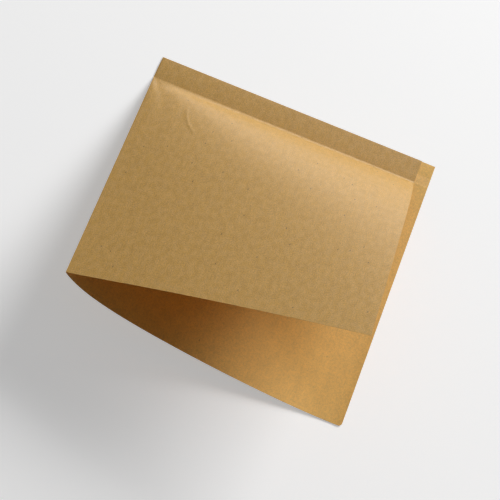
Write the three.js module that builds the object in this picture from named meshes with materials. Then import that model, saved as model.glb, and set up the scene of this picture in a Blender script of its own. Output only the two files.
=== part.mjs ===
// Kraft paper corner bag: one sheet of paper folded along its left side and glued along the top,
// open along the bottom and the right side. It lies on its back panel with its front panel bowed up.
//
// Millimetres, +Z up. The bag lies on z = 0. The origin is on that plane, at the middle of the
// closed bag's outline. +X runs from the fold to the open side, +Y from the mouth to the seal.
//
// The paper is stiff, so it bends without stretching. Each panel is flat in the glued seal, and past
// the crease it is part of a cone whose tip is the corner where the crease meets the fold. A straight
// ruling leaves that tip at an angle phi below the crease: 0 along the crease, 90 down the fold.
import * as THREE from 'three'

// Driving sizes of the bag
const bagWidth = 170        // back panel, from the outside of the fold to its free edge
const bagHeight = 180       // both panels, from the top edge to the mouth
const frontInset = 8.4      // how far the front panel stops short of the back panel's free edge
const sealHeight = 15       // top edge down to the crease where the panels part
const glueBand = 8          // glued stretch of the seal, next to the crease
const paper = 0.12          // thickness of the sheet, 80 g/m2 kraft
const marginGap = 0.3       // how far the unglued edges above the glue part at the open side

// How the opened bag stands, all as angles above the table seen from the cone's tip
const foldLift = 12.7       // the fold, which both panels share
const backFlatTo = 46.4     // the back panel lies flat up to this ruling
const backCurl = 1.36       // how gradually the back panel leaves the table
const backHook = 0.18       // share of the lift that it gains close to the fold
const hookPower = 8         // how close to the fold that share is gained
const frontSkew = 1.13      // moves the front panel's crest towards the open side
const frontRipple = 0.38    // flattens the crest
const backCorner = 2        // radius of the back panel's soft free corner

// Fineness of the facets
const curvedStep = 2        // widest angle between rulings where a panel curves, in degrees
const flatStep = 12         // the same where the back panel lies flat
const rings = 5             // steps along each ruling
const foldFacets = 4        // facets round the outside of the fold
const cornerFacets = 4      // facets round the soft corner

// Fineness of the reckoning
const arcSteps = 720        // steps in the sum that lays a panel out round the tip
const bowHalvings = 50      // halvings in the search for the front panel's bow
const steepestBow = 0.5     // radians, where that search starts
const nudge = 0.002         // radians to each side of a ruling when its normal is taken
const tiny = 1e-6

const quarter = Math.PI / 2
const radians = THREE.MathUtils.degToRad

// The inner faces of the sheet carry the outline, so the fold's outside adds one thickness
const backWidth = bagWidth - paper
const frontWidth = backWidth - frontInset
const panelDrop = bagHeight - sealHeight
const glueTop = sealHeight - glueBand
const tip = new THREE.Vector3(paper - bagWidth / 2, bagHeight / 2 - sealHeight, paper)

// Elevation of the back panel's ruling at phi
function backElevation(phi) {
  const flat = radians(backFlatTo)
  const along = Math.max(0, (phi - flat) / (quarter - flat))
  return radians(foldLift) * ((1 - backHook) * along ** backCurl + backHook * along ** hookPower)
}

// Elevation of the front panel's ruling at phi, for a bow of a given height
function frontElevation(phi, bow) {
  const along = phi / quarter
  return radians(foldLift) * along
    + bow * Math.sin(Math.PI * along)
    + radians(frontSkew) * Math.sin(2 * Math.PI * along)
    + radians(frontRipple) * Math.sin(3 * Math.PI * along)
}

// A flat sheet keeps its angles at the tip, so the ruling turns one radian of arc for each radian
// of phi. This sums the azimuth that is left once the climb is taken out.
function sweep(elevation) {
  const step = quarter / arcSteps
  const azimuths = [0]
  const rate = (phi) => {
    const climb = (elevation(phi + step / 2) - elevation(phi - step / 2)) / step
    return Math.sqrt(Math.max(0, 1 - climb * climb)) / Math.cos(elevation(phi))
  }
  for (let i = 0; i < arcSteps; i++) azimuths.push(azimuths[i] + rate((i + 0.5) * step) * step)
  return (phi) => {
    const place = Math.min(Math.max(phi / step, 0), arcSteps)
    const below = Math.min(Math.floor(place), arcSteps - 1)
    return THREE.MathUtils.lerp(azimuths[below], azimuths[below + 1], place - below)
  }
}

// The height of the bow at which the front panel's fold lands on the back panel's fold
function findBow(backAzimuth) {
  let low = 0
  let high = steepestBow
  for (let i = 0; i < bowHalvings; i++) {
    const bow = (low + high) / 2
    const reach = sweep((phi) => frontElevation(phi, bow))(quarter)
    if (reach > backAzimuth(quarter)) low = bow
    else high = bow
  }
  return (low + high) / 2
}

const backAzimuth = sweep(backElevation)
const bow = findBow(backAzimuth)
const frontLift = (phi) => frontElevation(phi, bow)
const frontAzimuth = sweep(frontLift)

// Direction of a ruling from the tip
function direction(phi, elevation, azimuth) {
  const e = elevation(phi)
  const a = azimuth(phi)
  return new THREE.Vector3(Math.cos(e) * Math.cos(a), -Math.cos(e) * Math.sin(a), Math.sin(e))
}

// Outward normal of a panel along a ruling: up on the front panel, down on the back panel
function normal(phi, elevation, azimuth, side) {
  const before = direction(Math.max(phi - nudge, 0), elevation, azimuth)
  const after = direction(Math.min(phi + nudge, quarter), elevation, azimuth)
  const up = new THREE.Vector3().crossVectors(after, before).normalize()
  return up.multiplyScalar(side)
}

// Length of the ruling at phi, from the tip to the outline of a panel of a given width
function reach(phi, width) {
  const toSide = width / Math.max(Math.cos(phi), tiny)
  const toMouth = panelDrop / Math.max(Math.sin(phi), tiny)
  return Math.min(toSide, toMouth)
}

// Length of the back panel's ruling at phi, which its soft corner may shorten
function backReach(phi) {
  const ray = new THREE.Vector2(Math.cos(phi), Math.sin(phi))
  const centre = new THREE.Vector2(backWidth - backCorner, panelDrop - backCorner)
  const along = centre.dot(ray)
  const offSquared = centre.lengthSq() - along * along
  const full = reach(phi, backWidth)
  if (offSquared > backCorner ** 2) return full
  const toArc = along + Math.sqrt(backCorner ** 2 - offSquared)
  const end = ray.multiplyScalar(toArc)
  return end.x >= centre.x && end.y >= centre.y ? toArc : full
}

// Length of a ruling inside the front panel's outline, which the layer below it shares
const frontReach = (phi) => Math.min(reach(phi, frontWidth), backReach(phi))

// Rulings through the given angles, with more between them where the panel curves
function rulings(angles, stepAt) {
  const marks = [...angles].sort((a, b) => a - b)
  const list = [marks[0]]
  for (let i = 1; i < marks.length; i++) {
    const span = marks[i] - marks[i - 1]
    const count = Math.ceil(span / radians(stepAt((marks[i] + marks[i - 1]) / 2)) - tiny)
    for (let k = 1; k <= count; k++) list.push(marks[i - 1] + span * k / count)
  }
  return list
}

const frontCornerAngle = Math.atan2(panelDrop, frontWidth)
const softCornerAngles = Array.from({ length: cornerFacets + 1 }, (_, i) => {
  const turn = quarter * i / cornerFacets
  const x = backWidth - backCorner * (1 - Math.cos(turn))
  const y = panelDrop - backCorner * (1 - Math.sin(turn))
  return Math.atan2(y, x)
})

const frontRulings = rulings([0, frontCornerAngle, quarter], () => curvedStep)
const backRulings = rulings(
  [0, ...softCornerAngles, frontCornerAngle, radians(backFlatTo), quarter],
  (phi) => phi < radians(backFlatTo) ? flatStep : curvedStep
)

// One face of a panel's cone as rows of points, one row for each ruling, starting at the tip.
// A row may end with one more point, on the lip past the front panel.
function coneRows(phis, elevation, azimuth, lipReach, offsetAt) {
  const tipOffset = offsetAt(0)
  return phis.map((phi) => {
    const ray = direction(phi, elevation, azimuth)
    const offset = offsetAt(phi)
    const lengths = Array.from({ length: rings }, (_, i) => frontReach(phi) * (i + 1) / rings)
    if (lipReach) lengths.push(lipReach(phi))
    const points = lengths.map((length) => tip.clone().addScaledVector(ray, length).add(offset))
    return [tip.clone().add(tipOffset), ...points]
  })
}

const up = new THREE.Vector3(0, 0, 1)
const noOffset = () => new THREE.Vector3()

// The front panel's outer face meets the seal's along a mitre at the crease
function frontOffset(phi) {
  const own = normal(phi, frontLift, frontAzimuth, 1)
  if (phi > 0) return own.multiplyScalar(paper)
  return own.clone().add(up).multiplyScalar(paper / (1 + own.dot(up)))
}

const backOffset = (phi) => normal(phi, backElevation, backAzimuth, -1).multiplyScalar(paper)

const frontInner = coneRows(frontRulings, frontLift, frontAzimuth, null, noOffset)
const frontOuter = coneRows(frontRulings, frontLift, frontAzimuth, null, frontOffset)
const backInner = coneRows(backRulings, backElevation, backAzimuth, backReach, noOffset)
const backOuter = coneRows(backRulings, backElevation, backAzimuth, backReach, backOffset)

// A row of points across the seal, from the fold to the front panel's edge or the lip's
function sealRow(fromTop, heightAt, withLip) {
  const columns = Array.from({ length: rings + 1 }, (_, i) => i / rings)
  const row = columns.map((share) => {
    return new THREE.Vector3(tip.x + frontWidth * share, bagHeight / 2 - fromTop, heightAt(share))
  })
  if (withLip) row.push(new THREE.Vector3(tip.x + backWidth, bagHeight / 2 - fromTop, heightAt(1)))
  return row
}

// Collects the faces of the sheet's surface
class Skin {
  constructor() {
    this.positions = []
  }

  triangle(a, b, c) {
    const shortest = Math.min(a.distanceTo(b), b.distanceTo(c), c.distanceTo(a))
    if (shortest > tiny) this.positions.push(...a.toArray(), ...b.toArray(), ...c.toArray())
  }

  // Rows that follow each other towards the mouth, with their points running to the open side,
  // make a face that looks up
  grid(rows, looksUp) {
    for (let i = 0; i + 1 < rows.length; i++) {
      for (let j = 0; j + 1 < rows[i].length; j++) {
        const [a, b, c, d] = [rows[i][j], rows[i + 1][j], rows[i + 1][j + 1], rows[i][j + 1]]
        if (looksUp) {
          this.triangle(a, b, c)
          this.triangle(a, c, d)
        } else {
          this.triangle(a, c, b)
          this.triangle(a, d, c)
        }
      }
    }
  }

  // The cut edge of a layer, between its lower and upper outline
  rim(lower, upper) {
    this.grid([lower, upper], true)
  }

  // A flat end between a point and an arc round it
  cap(centre, arc) {
    for (let i = 0; i + 1 < arc.length; i++) this.triangle(centre, arc[i], arc[i + 1])
  }

  geometry() {
    const geometry = new THREE.BufferGeometry()
    geometry.setAttribute('position', new THREE.Float32BufferAttribute(this.positions, 3))
    geometry.computeVertexNormals()
    return geometry
  }
}

// Points round the outside of the fold, from under the back panel to the top of the front panel
function foldArc(centre, under, over, axis) {
  const from = under.clone().sub(centre)
  const to = over.clone().sub(centre)
  const sine = new THREE.Vector3().crossVectors(from, to).dot(axis)
  const turn = (Math.atan2(sine, from.dot(to)) + 2 * Math.PI) % (2 * Math.PI)
  return Array.from({ length: foldFacets + 1 }, (_, i) => {
    const share = i / foldFacets
    if (i === 0) return under
    if (i === foldFacets) return over
    const spoke = from.clone().applyAxisAngle(axis, turn * share).normalize()
    return spoke.multiplyScalar(paper).add(centre)
  })
}

const column = (rows, index) => rows.map((row) => row.at(index))

function kraftBag() {
  const skin = new Skin()
  const flatUnder = () => 0
  const flatInner = () => paper
  const flatOver = () => 2 * paper
  const partedInner = (share) => paper + marginGap * share
  const partedOver = (share) => 2 * paper + marginGap * share

  // Seal, from the top edge through the glue's edge to the crease
  const sealUnder = [sealRow(0, flatUnder, true), sealRow(glueTop, flatUnder, true), backOuter[0]]
  const sealOver = [sealRow(0, partedOver), sealRow(glueTop, flatOver), frontOuter[0]]
  const sealInner = [sealRow(0, flatInner, true), sealRow(glueTop, flatInner, true), backInner[0]]
  const marginOver = [sealRow(0, partedInner), sealRow(glueTop, flatInner)]
  const marginUnder = sealInner.slice(0, 2).map((row) => row.slice(0, rings + 1))
  skin.grid(sealUnder, false)
  skin.grid(sealOver, true)
  skin.grid([...marginOver].reverse(), true)
  skin.grid([...marginUnder].reverse(), false)
  skin.grid(sealInner.map((row) => row.slice(rings)), true)

  // Panels below the crease
  skin.grid(backOuter, false)
  skin.grid(backInner, true)
  skin.grid(frontInner, false)
  skin.grid(frontOuter, true)

  // Cut edges: top, open side and mouth
  skin.rim(sealUnder[0], sealInner[0])
  skin.rim(marginOver[0], sealOver[0])
  const frontEdgeUnder = [marginOver[0].at(-1), marginOver[1].at(-1), ...column(frontInner, -1)]
  const frontEdgeOver = [...column(sealOver.slice(0, 2), -1), ...column(frontOuter, -1)]
  skin.rim(frontEdgeUnder, frontEdgeOver)
  const backEdgeUnder = [...column(sealUnder.slice(0, 2), -1), ...column(backOuter, -1)]
  const backEdgeInner = [...column(sealInner.slice(0, 2), -1), ...column(backInner, -1)]
  skin.rim(backEdgeUnder, backEdgeInner)

  // Outside of the fold, from the top edge to the mouth
  const alongSeal = new THREE.Vector3(0, 1, 0)
  const foldInner = [sealInner[0][0], sealInner[1][0], ...frontInner.at(-1)]
  const foldUnder = [sealUnder[0][0], sealUnder[1][0], ...backOuter.at(-1).slice(0, rings + 1)]
  const foldOver = [sealOver[0][0], sealOver[1][0], ...frontOuter.at(-1)]
  const alongPanels = direction(quarter, frontLift, frontAzimuth).negate()
  const arcs = foldInner.map((centre, i) => {
    const axis = i < sealInner.length ? alongSeal : alongPanels
    return foldArc(centre, foldUnder[i], foldOver[i], axis)
  })
  skin.grid(arcs, true)
  skin.cap(foldInner[0], arcs[0])
  skin.cap(foldInner.at(-1), arcs.at(-1).reverse())
  return skin.geometry()
}

const kraft = new THREE.MeshStandardMaterial({ color: 0xb98f58, roughness: 0.62, metalness: 0 })
const bag = new THREE.Mesh(kraftBag(), kraft)
bag.name = 'kraft_bag'

const model = new THREE.Group()
model.add(bag)

export default model
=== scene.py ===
# Kraft paper corner bag: a sheet folded down its left side and glued along the top, lying on its
# back panel with the front panel bowed up. The bag lies on z = 0. Lengths are metres, but the
# paper's patterns are laid out in millimetres.
import math

import bpy
import numpy as np
from mathutils import Matrix, Vector


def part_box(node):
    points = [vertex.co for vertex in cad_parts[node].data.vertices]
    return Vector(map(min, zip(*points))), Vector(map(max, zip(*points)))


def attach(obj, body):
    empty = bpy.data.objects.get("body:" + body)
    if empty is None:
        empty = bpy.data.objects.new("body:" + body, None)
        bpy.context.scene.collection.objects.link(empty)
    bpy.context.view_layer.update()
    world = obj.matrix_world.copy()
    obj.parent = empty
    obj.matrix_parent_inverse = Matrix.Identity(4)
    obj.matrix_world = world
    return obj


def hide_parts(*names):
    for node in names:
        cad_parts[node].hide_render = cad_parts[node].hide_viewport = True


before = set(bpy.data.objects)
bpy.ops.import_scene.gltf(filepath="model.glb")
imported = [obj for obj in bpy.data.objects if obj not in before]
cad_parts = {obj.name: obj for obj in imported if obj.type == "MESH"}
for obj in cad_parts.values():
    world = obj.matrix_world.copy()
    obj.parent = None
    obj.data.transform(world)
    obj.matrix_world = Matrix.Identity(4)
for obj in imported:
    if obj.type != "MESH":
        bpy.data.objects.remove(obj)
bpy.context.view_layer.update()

bag_low, bag_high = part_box("kraft_bag")

# Sizes of the cut sheet. The width and height come from the frame, the rest repeat the model's.
BAG_WIDTH = round(bag_high.x - bag_low.x, 4)
BAG_HEIGHT = round(bag_high.y - bag_low.y, 4)
FRONT_INSET = 0.0084
SEAL_HEIGHT = 0.015
GLUE_BAND = 0.008
GLUE_FILM = 0.00002
MARGIN_GAP = 0.0003
PAPER = 0.00012
BACK_CORNER = 0.002

BACK_WIDTH = BAG_WIDTH - PAPER
FRONT_WIDTH = BACK_WIDTH - FRONT_INSET
GLUE_TOP = SEAL_HEIGHT - GLUE_BAND

# How the opened bag stands. Angles are seen from the tip, where the crease meets the fold.
TIP = np.array([bag_low.x + PAPER, bag_high.y - SEAL_HEIGHT, PAPER])
QUARTER = math.pi / 2
FOLD_LIFT = math.radians(12.7)
FRONT_SKEW = math.radians(1.13)
FRONT_RIPPLE = math.radians(0.38)

# The back panel is flat up to an angle and curls up from there, most sharply close to the fold
BACK_FLAT_TO = math.radians(46.4)
BACK_TAKE_OFF = 0.05
BACK_CURL = 1.36
BACK_HOOK = 0.18
BACK_HOOK_POWER = 8

# The front panel's bow is found by halving its range, on cones sampled at even angles
BOW_LIMIT = 0.5
BOW_HALVINGS = 40
CONE_SAMPLES = 1441
NEAR_ZERO = 1e-6

# The crease is soft, most so near the fold. The front panel is back at its full height at a depth
# below it, and also at the fold, towards which the softness fades from a share of the quarter turn.
CREASE_SPREAD = 0.0058
CREASE_SPREAD_OPEN = 0.0034
CREASE_REGAIN = 0.07
CREASE_FADE_FROM = 0.6

# The glued strip above the crease is slightly arched
STRIP_ARCH = 0.00022

# The lower part of the back panel's free edge curls up a little
EDGE_CURL = 0.0003
EDGE_CURL_WIDTH = 0.006
EDGE_CURL_TOP = 0.09
EDGE_CURL_FULL = 0.13

# A faint ridge where the front panel was once pressed in. It is an arc on the flat sheet, and its
# centre is given from the fold and below the top edge.
RIDGE_CENTRE = (0.058, 0.0338)
RIDGE_RADIUS = 0.032
RIDGE_HEIGHT = 0.00014
RIDGE_WIDTH = 0.0011
RIDGE_LENGTH = 0.03
RIDGE_TURN = math.radians(156)

# The mesh: a cell's width, the distance of the cuts on both sides of the fold and the crease, the
# number of cuts through each cell near the ridge, the rounded corner's facets, and the sharpest
# bend that is still shaded smooth. A reach is how far from the middle of its place a change goes.
CELL = 0.0013
SOFT_BEND = 0.0004
RIDGE_CUTS = 2
RIDGE_REACH = 0.6 * RIDGE_LENGTH
CORNER_FACETS = 6
CORNER_REACH = 3 * BACK_CORNER
SMOOTH_UP_TO = math.radians(50)

# Points this close to the fold's line lie on it, and a slight push keeps their way outward clear
ON_FOLD = 1e-7
FOLD_PUSH = np.array([-0.001, 0, 0])

# Colours, roughness and gloss of the kraft paper
OUTSIDE_STRAW = (0.588, 0.335, 0.078)
OUTSIDE_BROWN = (0.55, 0.302, 0.05)
OUTSIDE_ROUGHNESS = 0.47
OUTSIDE_GLOSS = 0.8
INSIDE_KRAFT = (0.79, 0.45, 0.092)
GLUED_KRAFT = (0.91, 0.53, 0.148)
INSIDE_ROUGHNESS = 0.72
INSIDE_GLOSS = 0.85
EDGE_KRAFT = (0.64, 0.37, 0.10)
EDGE_ROUGHNESS = 0.9

# How much lighter the fibres are and how much darker the flecks, then how far the fibres rise in
# the relief and how deep the relief is
OUTSIDE_FIBRE_TONE = 0.07
OUTSIDE_FLECK_TONE = 0.75
OUTSIDE_FIBRE_RISE = 0.3
OUTSIDE_RELIEF = 0.000012
INSIDE_FIBRE_TONE = 0.09
INSIDE_FLECK_TONE = 0.5
INSIDE_FIBRE_RISE = 0.5
INSIDE_RELIEF = 0.00002
EDGE_RELIEF = 0.00002

# The patterns, with sizes in millimetres and turns in degrees. A pattern is shifted by as many
# steps as its seed says. The fade and the core are the soft border of a fibre and of a fleck.
MILLIMETRES = 1000.0
SEED_STEP = (13.7, 7.9)
FIBRE_WIDTH = 0.09
FIBRE_LENGTH = 1.9
FIBRE_TURNS = (-68, -37, -12, 9, 31, 63)
FIBRE_FADE = 0.16
FLECK_STRETCH = 3
FLECK_CORE = 0.5
FLECK_TURN = 8

# The paler mark that the glue has left, in depths below the top edge. Its ragged swing and the
# two halves of its soft border are in millimetres.
GLUE_MARK_TOP = 0.0096
GLUE_MARK_BOTTOM = 0.0162
GLUE_MARK_RAGGED = 1.4
GLUE_MARK_ABOVE = 0.5
GLUE_MARK_BELOW = 0.3

# The camera, as fitted to the photo
VIEW_TARGET = Vector((0.00444, -0.00922, 0))
VIEW_DISTANCE = 1.0842
VIEW_ELEVATION = math.radians(58.57)
VIEW_ROLL = math.radians(20.72)
VIEW_YAW = math.radians(-1.55)
FOCAL_PIXELS = 1961.66
PHOTO_WIDTH = 500
SENSOR_WIDTH = 36.0

# The floor and the room. Their glow is what the camera and the gloss see of them, and the room's
# light is what it gives to the bag.
WHITE = (1, 1, 1, 1)
FLOOR_SIZE = 6
FLOOR_DROP = 0.0002
FLOOR_TONE = 0.8
FLOOR_GLOW = 0.4
FLOOR_ROUGHNESS = 0.9
ROOM_GLOW = 0.5
ROOM_LIGHT = 0.066
LAMP_AIM = Vector((0, 0, 0.02))


def deselect():
    bpy.ops.object.select_all(action="DESELECT")


def make_active(piece):
    deselect()
    piece.select_set(True)
    bpy.context.view_layer.objects.active = piece


# The bent form


def smooth(share):
    share = np.clip(share, 0, 1)
    return share * share * (3 - 2 * share)


def back_elevation(phi):
    past = (phi - BACK_FLAT_TO) / (QUARTER - BACK_FLAT_TO)
    along = (past + np.sqrt(past**2 + BACK_TAKE_OFF**2)) / 2
    return FOLD_LIFT * ((1 - BACK_HOOK) * along**BACK_CURL + BACK_HOOK * along**BACK_HOOK_POWER)


def front_elevation(phi, bow):
    along = phi / QUARTER
    wave = bow * np.sin(math.pi * along) + FRONT_SKEW * np.sin(2 * math.pi * along)
    return FOLD_LIFT * along + wave + FRONT_RIPPLE * np.sin(3 * math.pi * along)


class Cone:
    """A panel below the crease: straight rulings from the tip, laid out without stretching. Phi is
    a ruling's angle on the flat sheet, from the crease on."""

    def __init__(self, elevation):
        self.phi = np.linspace(0, QUARTER, CONE_SAMPLES)
        self.lift = elevation(self.phi)
        climb = np.gradient(self.lift, self.phi)
        rate = np.sqrt(np.clip(1 - climb**2, NEAR_ZERO, None)) / np.cos(self.lift)
        steps = (rate[1:] + rate[:-1]) / 2 * np.diff(self.phi)
        self.turn = np.concatenate([[0], np.cumsum(steps)])
        self.rays = self.ray_at(self.phi)
        along = np.gradient(self.rays, self.phi, axis=0)
        across = np.cross(along, self.rays)
        self.normals = across / np.linalg.norm(across, axis=1, keepdims=True)

    def ray_at(self, phi):
        lift = np.interp(phi, self.phi, self.lift)
        turn = np.interp(phi, self.phi, self.turn)
        flat = np.cos(lift)
        return np.stack([flat * np.cos(turn), -flat * np.sin(turn), np.sin(lift)], axis=-1)

    def normal_at(self, phi):
        parts = [np.interp(phi, self.phi, self.normals[:, k]) for k in range(3)]
        return np.stack(parts, axis=-1)


def find_bow(back_turn):
    """The front panel's bow at which its fold lands on the back panel's fold."""
    low, high = 0.0, BOW_LIMIT
    for _ in range(BOW_HALVINGS):
        bow = (low + high) / 2
        if Cone(lambda phi: front_elevation(phi, bow)).turn[-1] > back_turn:
            low = bow
        else:
            high = bow
    return (low + high) / 2


def crease_spread(u):
    """How far the soft crease reaches down the front panel at u from the fold."""
    return CREASE_SPREAD + (CREASE_SPREAD_OPEN - CREASE_SPREAD) * smooth(u / FRONT_WIDTH)


def crease_share(below, phi, spread):
    """Share of its height that the front panel has so far below its soft crease."""
    bent = np.where(
        below < spread,
        below / (2 * spread),
        1 - spread / (2 * np.maximum(below, spread)),
    )
    regained = smooth((below - spread) / (CREASE_REGAIN - spread))
    fade_from = QUARTER * CREASE_FADE_FROM
    near_fold = smooth((phi - fade_from) / (QUARTER * (1 - CREASE_FADE_FROM)))
    return bent + (1 - bent) * np.maximum(regained, near_fold)


def ridge_height(u, v):
    """The faint ridge's rise above the front panel at u from the fold and v below the top edge."""
    across = RIDGE_RADIUS - np.hypot(u - RIDGE_CENTRE[0], v - RIDGE_CENTRE[1])
    turn = np.arctan2(v - RIDGE_CENTRE[1], u - RIDGE_CENTRE[0]) - RIDGE_TURN
    along = np.abs(turn) * RIDGE_RADIUS / (RIDGE_LENGTH / 2)
    return RIDGE_HEIGHT * np.exp(-((across / RIDGE_WIDTH) ** 2)) * smooth(2 * (1 - along))


def bend_point_rows(u, v, depth, is_front, cone):
    """Places of the sheet's points at u from the fold and v below the top edge, with the depth
    into the paper counted from its inner face, and the paper's way outward at each of them."""
    out = 1 if is_front else -1
    below = v > SEAL_HEIGHT
    drop = np.clip(v - SEAL_HEIGHT, 0, None)
    phi = np.arctan2(drop, u)
    length = np.hypot(u, drop)
    rise = cone.ray_at(phi) * length[:, None]
    normal = cone.normal_at(phi) * out
    upright = np.array([0, 0, out], float)
    if is_front:
        spread = crease_spread(u)
        rise[:, 2] *= crease_share(drop, phi, spread)
        bent = smooth(drop / spread)[:, None]
        normal = normal * bent + upright * (1 - bent)
        normal /= np.linalg.norm(normal, axis=1, keepdims=True)
        rise += normal * ridge_height(u, v)[:, None]
    else:
        past = np.clip((u - BACK_WIDTH + EDGE_CURL_WIDTH) / EDGE_CURL_WIDTH, 0, None)
        started = smooth((v - EDGE_CURL_TOP) / (EDGE_CURL_FULL - EDGE_CURL_TOP))
        rise[:, 2] += EDGE_CURL * past**2 * started
    place = TIP + rise
    flat = np.stack([TIP[0] + u, bag_high.y - v, np.full_like(u, PAPER)], axis=-1)
    flat[:, 2] += STRIP_ARCH * (1 - (2 * v / SEAL_HEIGHT - 1) ** 2)
    if is_front:
        parted = np.clip(1 - v / GLUE_TOP, 0, 1) * u / FRONT_WIDTH
        flat[:, 2] += GLUE_FILM + MARGIN_GAP * parted
    place = np.where(below[:, None], place, flat)
    normal = np.where(below[:, None], normal, upright)
    return place + normal * depth[:, None], normal


# The sheet


def select_near(place, reach):
    """Selects the faces of the flat sheet whose middle is within reach of a place."""
    mesh = bpy.context.object.data
    bpy.ops.object.mode_set(mode="OBJECT")
    near = [(face.center - place).length < reach for face in mesh.polygons]
    mesh.vertices.foreach_set("select", np.zeros(len(mesh.vertices), bool))
    mesh.edges.foreach_set("select", np.zeros(len(mesh.edges), bool))
    mesh.polygons.foreach_set("select", np.array(near))
    bpy.ops.object.mode_set(mode="EDIT")
    bpy.ops.mesh.select_mode(type="FACE")


def cut_line(place, normal):
    bpy.ops.mesh.select_all(action="SELECT")
    bpy.ops.mesh.bisect(plane_co=place, plane_no=normal)


def cut_blank():
    """The flat sheet with its inner side up: the back panel right of the fold at x = 0, the front
    panel left of it, and the top edge along y = 0."""
    deselect()
    across = FRONT_WIDTH + BACK_WIDTH
    bpy.ops.mesh.primitive_grid_add(
        x_subdivisions=round(across / CELL),
        y_subdivisions=round(BAG_HEIGHT / CELL),
        size=1,
        location=((BACK_WIDTH - FRONT_WIDTH) / 2, -BAG_HEIGHT / 2, 0),
    )
    blank = bpy.context.object
    blank.name = "kraft_bag_sheet"
    blank.scale = (across, BAG_HEIGHT, 1)
    bpy.ops.object.transform_apply(location=True, rotation=False, scale=True)
    bpy.ops.object.mode_set(mode="EDIT")
    for offset in (-SOFT_BEND, 0, SOFT_BEND):
        cut_line((offset, 0, 0), (1, 0, 0))
        cut_line((0, -SEAL_HEIGHT + offset, 0), (0, 1, 0))
    cut_line((0, -GLUE_TOP, 0), (0, 1, 0))
    refine_ridge()
    round_back_corner()
    bpy.ops.object.mode_set(mode="OBJECT")
    return blank


def refine_ridge():
    """Finer cells on the front panel under the faint ridge."""
    middle = Vector((
        -RIDGE_CENTRE[0] - RIDGE_RADIUS * math.cos(RIDGE_TURN),
        -RIDGE_CENTRE[1] - RIDGE_RADIUS * math.sin(RIDGE_TURN),
        0,
    ))
    select_near(middle, RIDGE_REACH)
    bpy.ops.mesh.subdivide(number_cuts=RIDGE_CUTS)


def round_back_corner():
    """Trims the back panel's free corner with a few straight cuts along its arc."""
    centre = Vector((BACK_WIDTH - BACK_CORNER, -BAG_HEIGHT + BACK_CORNER, 0))
    for k in range(CORNER_FACETS):
        turn = -QUARTER * (k + 0.5) / CORNER_FACETS
        outward = Vector((math.cos(turn), math.sin(turn), 0))
        select_near(centre, CORNER_REACH)
        bpy.ops.mesh.bisect(
            plane_co=centre + outward * BACK_CORNER,
            plane_no=outward,
            clear_outer=True,
        )


def give_thickness(blank):
    """Thickens the paper from its inner face outwards. The inner side, the outer one and the cut
    edge have a finish each."""
    thick = blank.modifiers.new("paper", "SOLIDIFY")
    thick.thickness = PAPER
    thick.offset = -1
    thick.material_offset = 1
    thick.material_offset_rim = 2
    make_active(blank)
    bpy.ops.object.modifier_apply(modifier=thick.name)


def fold_sheet(blank):
    """Moves every point of the flat sheet to its place on the opened bag, and keeps its flat place
    in an attribute, so that the paper's grain follows the sheet."""
    mesh = blank.data
    flat = np.zeros(len(mesh.vertices) * 3)
    mesh.vertices.foreach_get("co", flat)
    flat = flat.reshape(-1, 3)
    grain = mesh.attributes.new("flat_place", "FLOAT_VECTOR", "POINT")
    grain.data.foreach_set("vector", flat.ravel())

    back = Cone(back_elevation)
    bow = find_bow(back.turn[-1])
    front = Cone(lambda phi: front_elevation(phi, bow))
    u, v, depth = np.abs(flat[:, 0]), -flat[:, 1], -flat[:, 2]
    placed = np.zeros_like(flat)
    on_front = flat[:, 0] < -ON_FOLD
    on_fold = np.abs(flat[:, 0]) <= ON_FOLD
    for rows, is_front, cone in ((on_front, True, front), (~on_front, False, back)):
        placed[rows] = bend_point_rows(u[rows], v[rows], depth[rows], is_front, cone)[0]
    inner, back_normal = bend_point_rows(u[on_fold], v[on_fold], 0 * depth[on_fold], False, back)
    front_normal = bend_point_rows(u[on_fold], v[on_fold], 0 * depth[on_fold], True, front)[1]
    outward = back_normal + front_normal + FOLD_PUSH
    outward /= np.linalg.norm(outward, axis=1, keepdims=True)
    placed[on_fold] = inner + outward * depth[on_fold][:, None]
    mesh.vertices.foreach_set("co", placed.ravel())
    mesh.update()


def make_bag():
    blank = cut_blank()
    for material in (kraft_inside(), kraft_outside(), cut_edge()):
        blank.data.materials.append(material)
    give_thickness(blank)
    fold_sheet(blank)
    make_active(blank)
    bpy.ops.object.shade_smooth_by_angle(angle=SMOOTH_UP_TO)
    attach(blank, "root")
    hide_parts("kraft_bag")


# Finishes


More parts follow.
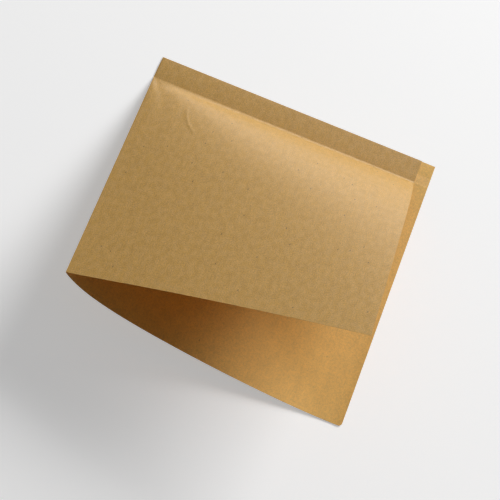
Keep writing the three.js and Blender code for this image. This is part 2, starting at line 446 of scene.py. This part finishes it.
class Finish:
    """One material, with its patterns laid out in millimetres on the flat sheet."""

    def __init__(self, name):
        self.material = bpy.data.materials.new(name)
        self.material.use_nodes = True
        self.nodes = self.material.node_tree.nodes
        self.links = self.material.node_tree.links
        self.shader = self.nodes["Principled BSDF"]
        place = self.nodes.new("ShaderNodeAttribute")
        place.attribute_name = "flat_place"
        grow = self.nodes.new("ShaderNodeVectorMath")
        grow.operation = "SCALE"
        grow.inputs["Scale"].default_value = MILLIMETRES
        self.links.new(place.outputs["Vector"], grow.inputs["Vector"])
        self.sheet = grow.outputs["Vector"]

    def feed(self, socket, value):
        if isinstance(value, bpy.types.NodeSocket):
            self.links.new(value, socket)
        else:
            socket.default_value = value

    def maths(self, operation, *values):
        node = self.nodes.new("ShaderNodeMath")
        node.operation = operation
        for socket, value in zip(node.inputs, values):
            self.feed(socket, value)
        return node.outputs[0]

    def ramp(self, value, start, end, low=0.0, high=1.0):
        """Smooth step from low at start to high at end."""
        node = self.nodes.new("ShaderNodeMapRange")
        node.interpolation_type = "SMOOTHSTEP"
        names = ("Value", "From Min", "From Max", "To Min", "To Max")
        for name, setting in zip(names, (value, start, end, low, high)):
            self.feed(node.inputs[name], setting)
        return node.outputs["Result"]

    def laid(self, across, along, turn, seed):
        """The sheet's place in units of a pattern's width and length."""
        node = self.nodes.new("ShaderNodeMapping")
        node.vector_type = "TEXTURE"
        node.inputs["Location"].default_value = (SEED_STEP[0] * seed, SEED_STEP[1] * seed, 0)
        node.inputs["Rotation"].default_value = (0, 0, math.radians(turn))
        node.inputs["Scale"].default_value = (across, along, 1)
        self.links.new(self.sheet, node.inputs["Vector"])
        return node.outputs["Vector"]

    def cloud(self, across, along, seed, turn=0, detail=2.0, soft=0.5):
        """Noise with spots of about the given size, around a middle of one half."""
        node = self.nodes.new("ShaderNodeTexNoise")
        node.noise_dimensions = "2D"
        node.inputs["Scale"].default_value = 1
        node.inputs["Detail"].default_value = detail
        node.inputs["Roughness"].default_value = soft
        self.links.new(self.laid(across, along, turn, seed), node.inputs["Vector"])
        return node.outputs["Fac"]

    def fibres(self, seed, sparse):
        """Hair-thin fibres lying every way, 0 between them and 1 on them."""
        total = 0.0
        for k, turn in enumerate(FIBRE_TURNS):
            hair = self.cloud(FIBRE_WIDTH, FIBRE_LENGTH, seed + k, turn=turn, detail=0.0)
            total = self.maths("MAXIMUM", self.ramp(hair, sparse, sparse + FIBRE_FADE), total)
        return total

    def flecks(self, spacing, radius, share, seed):
        """Rare dark slivers of bark, one at most in each spacing, longer than wide."""
        node = self.nodes.new("ShaderNodeTexVoronoi")
        node.voronoi_dimensions = "2D"
        node.inputs["Scale"].default_value = 1
        place = self.laid(spacing, FLECK_STRETCH * spacing, FLECK_TURN, seed)
        self.links.new(place, node.inputs["Vector"])
        size = radius / spacing
        spot = self.ramp(node.outputs["Distance"], size * FLECK_CORE, size, 1.0, 0.0)
        channels = self.nodes.new("ShaderNodeSeparateColor")
        self.links.new(node.outputs["Color"], channels.inputs["Color"])
        chosen = self.maths("LESS_THAN", channels.outputs["Red"], share)
        return self.maths("MULTIPLY", spot, chosen)

    def swing(self, middle, *parts):
        """middle plus each pattern's swing about its own middle."""
        total = middle - sum(width for _, width in parts) / 2
        for pattern, width in parts:
            total = self.maths("MULTIPLY_ADD", pattern, width, total)
        return total

    def marked(self, tone, fibres, lighter, flecks, darker):
        """The tone with lighter fibres and darker flecks on it."""
        tone = self.maths("MULTIPLY_ADD", fibres, lighter, tone)
        return self.maths("MULTIPLY", tone, self.maths("MULTIPLY_ADD", flecks, -darker, 1.0))

    def blend(self, share, first, second):
        node = self.nodes.new("ShaderNodeMix")
        node.data_type = "RGBA"
        colours = [socket for socket in node.inputs if socket.type == "RGBA"]
        self.feed(node.inputs["Factor"], share)
        for socket, colour in zip(colours, (first, second)):
            self.feed(socket, (*colour, 1))
        return next(socket for socket in node.outputs if socket.type == "RGBA")

    def toned(self, colour, tone):
        node = self.nodes.new("ShaderNodeVectorMath")
        node.operation = "SCALE"
        self.feed(node.inputs[0], colour)
        self.feed(node.inputs["Scale"], tone)
        return node.outputs["Vector"]

    def relief(self, height, depth):
        node = self.nodes.new("ShaderNodeBump")
        node.inputs["Distance"].default_value = depth
        self.feed(node.inputs["Height"], height)
        self.links.new(node.outputs["Normal"], self.shader.inputs["Normal"])


def kraft_outside():
    """Machine-glazed side: smooth and slightly shiny, cloudy, with faint streaks down the web."""
    kraft = Finish("kraft_outside")
    mottle = kraft.cloud(across=1.2, along=1.5, seed=2, detail=3.0, soft=0.65)
    formation = kraft.cloud(across=4.5, along=6.5, seed=3, detail=3.0)
    streaks = kraft.cloud(across=0.6, along=26.0, seed=4, detail=1.0)
    grain = kraft.cloud(across=0.6, along=0.7, seed=5, detail=1.0, soft=0.8)
    fibres = kraft.fibres(seed=6, sparse=0.6)
    flecks = kraft.flecks(spacing=6.0, radius=0.28, share=0.12, seed=21)
    tone = kraft.swing(1.0, (mottle, 0.15), (formation, 0.18), (streaks, 0.12), (grain, 0.95))
    tone = kraft.marked(tone, fibres, OUTSIDE_FIBRE_TONE, flecks, OUTSIDE_FLECK_TONE)
    warmth = kraft.cloud(across=3.0, along=4.5, seed=7, detail=3.0)
    colour = kraft.blend(kraft.ramp(warmth, start=0.3, end=0.7), OUTSIDE_STRAW, OUTSIDE_BROWN)
    kraft.feed(kraft.shader.inputs["Base Color"], kraft.toned(colour, tone))
    roughness = kraft.swing(OUTSIDE_ROUGHNESS, (mottle, 0.08), (grain, 0.16))
    kraft.feed(kraft.shader.inputs["Roughness"], roughness)
    kraft.shader.inputs["Specular IOR Level"].default_value = OUTSIDE_GLOSS
    height = kraft.swing(0.5, (mottle, 0.12), (grain, 0.6), (streaks, 0.28))
    height = kraft.maths("MULTIPLY_ADD", fibres, OUTSIDE_FIBRE_RISE, height)
    kraft.relief(height, OUTSIDE_RELIEF)
    return kraft.material


def kraft_inside():
    """Unglazed side: warmer, dull and more fibrous, paler where the glue has soaked in."""
    kraft = Finish("kraft_inside")
    mottle = kraft.cloud(across=1.3, along=1.6, seed=31, detail=3.0, soft=0.65)
    formation = kraft.cloud(across=5.0, along=7.0, seed=32, detail=3.0)
    grain = kraft.cloud(across=0.6, along=0.7, seed=33, detail=1.0, soft=0.8)
    fibres = kraft.fibres(seed=34, sparse=0.58)
    flecks = kraft.flecks(spacing=7.0, radius=0.28, share=0.1, seed=45)
    tone = kraft.swing(1.0, (mottle, 0.5), (formation, 0.24), (grain, 0.4))
    tone = kraft.marked(tone, fibres, INSIDE_FIBRE_TONE, flecks, INSIDE_FLECK_TONE)
    colour = kraft.blend(glue_mark(kraft), INSIDE_KRAFT, GLUED_KRAFT)
    kraft.feed(kraft.shader.inputs["Base Color"], kraft.toned(colour, tone))
    roughness = kraft.swing(INSIDE_ROUGHNESS, (mottle, 0.14))
    kraft.feed(kraft.shader.inputs["Roughness"], roughness)
    kraft.shader.inputs["Specular IOR Level"].default_value = INSIDE_GLOSS
    height = kraft.swing(0.5, (mottle, 0.4), (grain, 0.6))
    height = kraft.maths("MULTIPLY_ADD", fibres, INSIDE_FIBRE_RISE, height)
    kraft.relief(height, INSIDE_RELIEF)
    return kraft.material


def glue_mark(kraft):
    """1 on the mark of the glue and 0 off it, with a ragged edge."""
    parts = kraft.nodes.new("ShaderNodeSeparateXYZ")
    kraft.links.new(kraft.sheet, parts.inputs["Vector"])
    ragged = kraft.cloud(across=1.6, along=1.2, seed=50)
    down = kraft.maths("MULTIPLY", parts.outputs["Y"], -1.0)
    down = kraft.maths("MULTIPLY_ADD", ragged, GLUE_MARK_RAGGED, down)
    top = GLUE_MARK_TOP * MILLIMETRES + GLUE_MARK_RAGGED / 2
    bottom = GLUE_MARK_BOTTOM * MILLIMETRES + GLUE_MARK_RAGGED / 2
    entered = kraft.ramp(down, top - GLUE_MARK_ABOVE, top + GLUE_MARK_BELOW)
    left = kraft.ramp(down, bottom - GLUE_MARK_ABOVE, bottom + GLUE_MARK_BELOW, 1.0, 0.0)
    return kraft.maths("MULTIPLY", entered, left)


def cut_edge():
    """The sheet's cut edge, which shows its loose fibres."""
    kraft = Finish("cut_edge")
    grain = kraft.cloud(across=0.25, along=0.25, seed=61)
    tone = kraft.swing(1.0, (grain, 0.3))
    kraft.feed(kraft.shader.inputs["Base Color"], kraft.toned(EDGE_KRAFT, tone))
    kraft.shader.inputs["Roughness"].default_value = EDGE_ROUGHNESS
    kraft.relief(grain, EDGE_RELIEF)
    return kraft.material


# Camera, light and floor


def set_camera():
    level = math.cos(VIEW_ELEVATION)
    view = Vector((math.sin(VIEW_YAW) * level, math.cos(VIEW_YAW) * level, -math.sin(VIEW_ELEVATION)))
    right = Vector((math.cos(VIEW_YAW), -math.sin(VIEW_YAW), 0))
    above = right.cross(view)
    side = right * math.cos(VIEW_ROLL) + above * math.sin(VIEW_ROLL)
    top = above * math.cos(VIEW_ROLL) - right * math.sin(VIEW_ROLL)
    turn = Matrix((side, top, -view)).transposed()
    data = bpy.data.cameras.new("photo_camera")
    data.sensor_width = SENSOR_WIDTH
    data.lens = FOCAL_PIXELS / PHOTO_WIDTH * SENSOR_WIDTH
    camera = bpy.data.objects.new("photo_camera", data)
    bpy.context.scene.collection.objects.link(camera)
    place = VIEW_TARGET - view * VIEW_DISTANCE
    camera.matrix_world = Matrix.Translation(place) @ turn.to_4x4()
    bpy.context.scene.camera = camera


def softbox(name, place, width, height, power):
    data = bpy.data.lights.new(name, "AREA")
    data.shape = "RECTANGLE"
    data.size = width
    data.size_y = height
    data.energy = power
    lamp = bpy.data.objects.new(name, data)
    bpy.context.scene.collection.objects.link(lamp)
    lamp.location = place
    lamp.rotation_euler = (LAMP_AIM - Vector(place)).to_track_quat("-Z", "Y").to_euler()


def seen_or_lit(nodes, links, lit, seen):
    """One level for what the camera, gloss and glass see, and another for the light on the bag."""
    path = nodes.new("ShaderNodeLightPath")
    total = path.outputs["Is Camera Ray"]
    for ray in ("Is Glossy Ray", "Is Transmission Ray"):
        either = nodes.new("ShaderNodeMath")
        either.operation = "MAXIMUM"
        links.new(total, either.inputs[0])
        links.new(path.outputs[ray], either.inputs[1])
        total = either.outputs[0]
    level = nodes.new("ShaderNodeMapRange")
    level.inputs["To Min"].default_value = lit
    level.inputs["To Max"].default_value = seen
    links.new(total, level.inputs["Value"])
    return level.outputs["Result"]


def set_world():
    world = bpy.data.worlds.new("studio")
    world.use_nodes = True
    nodes, links = world.node_tree.nodes, world.node_tree.links
    background = nodes["Background"]
    level = seen_or_lit(nodes, links, ROOM_LIGHT, ROOM_GLOW)
    links.new(level, background.inputs["Strength"])
    background.inputs["Color"].default_value = WHITE
    bpy.context.scene.world = world


def make_floor():
    deselect()
    bpy.ops.mesh.primitive_plane_add(size=FLOOR_SIZE, location=(0, 0, -FLOOR_DROP))
    floor = bpy.context.object
    floor.name = "floor"
    material = bpy.data.materials.new("pale_floor")
    material.use_nodes = True
    nodes, links = material.node_tree.nodes, material.node_tree.links
    shader = nodes["Principled BSDF"]
    shader.inputs["Base Color"].default_value = (FLOOR_TONE, FLOOR_TONE, FLOOR_TONE, 1)
    shader.inputs["Emission Color"].default_value = WHITE
    links.new(seen_or_lit(nodes, links, 0.0, FLOOR_GLOW), shader.inputs["Emission Strength"])
    shader.inputs["Roughness"].default_value = FLOOR_ROUGHNESS
    floor.data.materials.append(material)


make_bag()
set_camera()
make_floor()
set_world()
softbox("horizon_light", place=(-0.42, 2.96, 0.25), width=1.2, height=0.6, power=8.0)
softbox("seal_side_light", place=(1.02, 2.52, 1.27), width=1.0, height=1.0, power=53.0)
softbox("open_side_light", place=(1.92, 1.92, 1.27), width=1.0, height=1.0, power=48.5)

scene = bpy.context.scene
scene.view_settings.view_transform = "Standard"
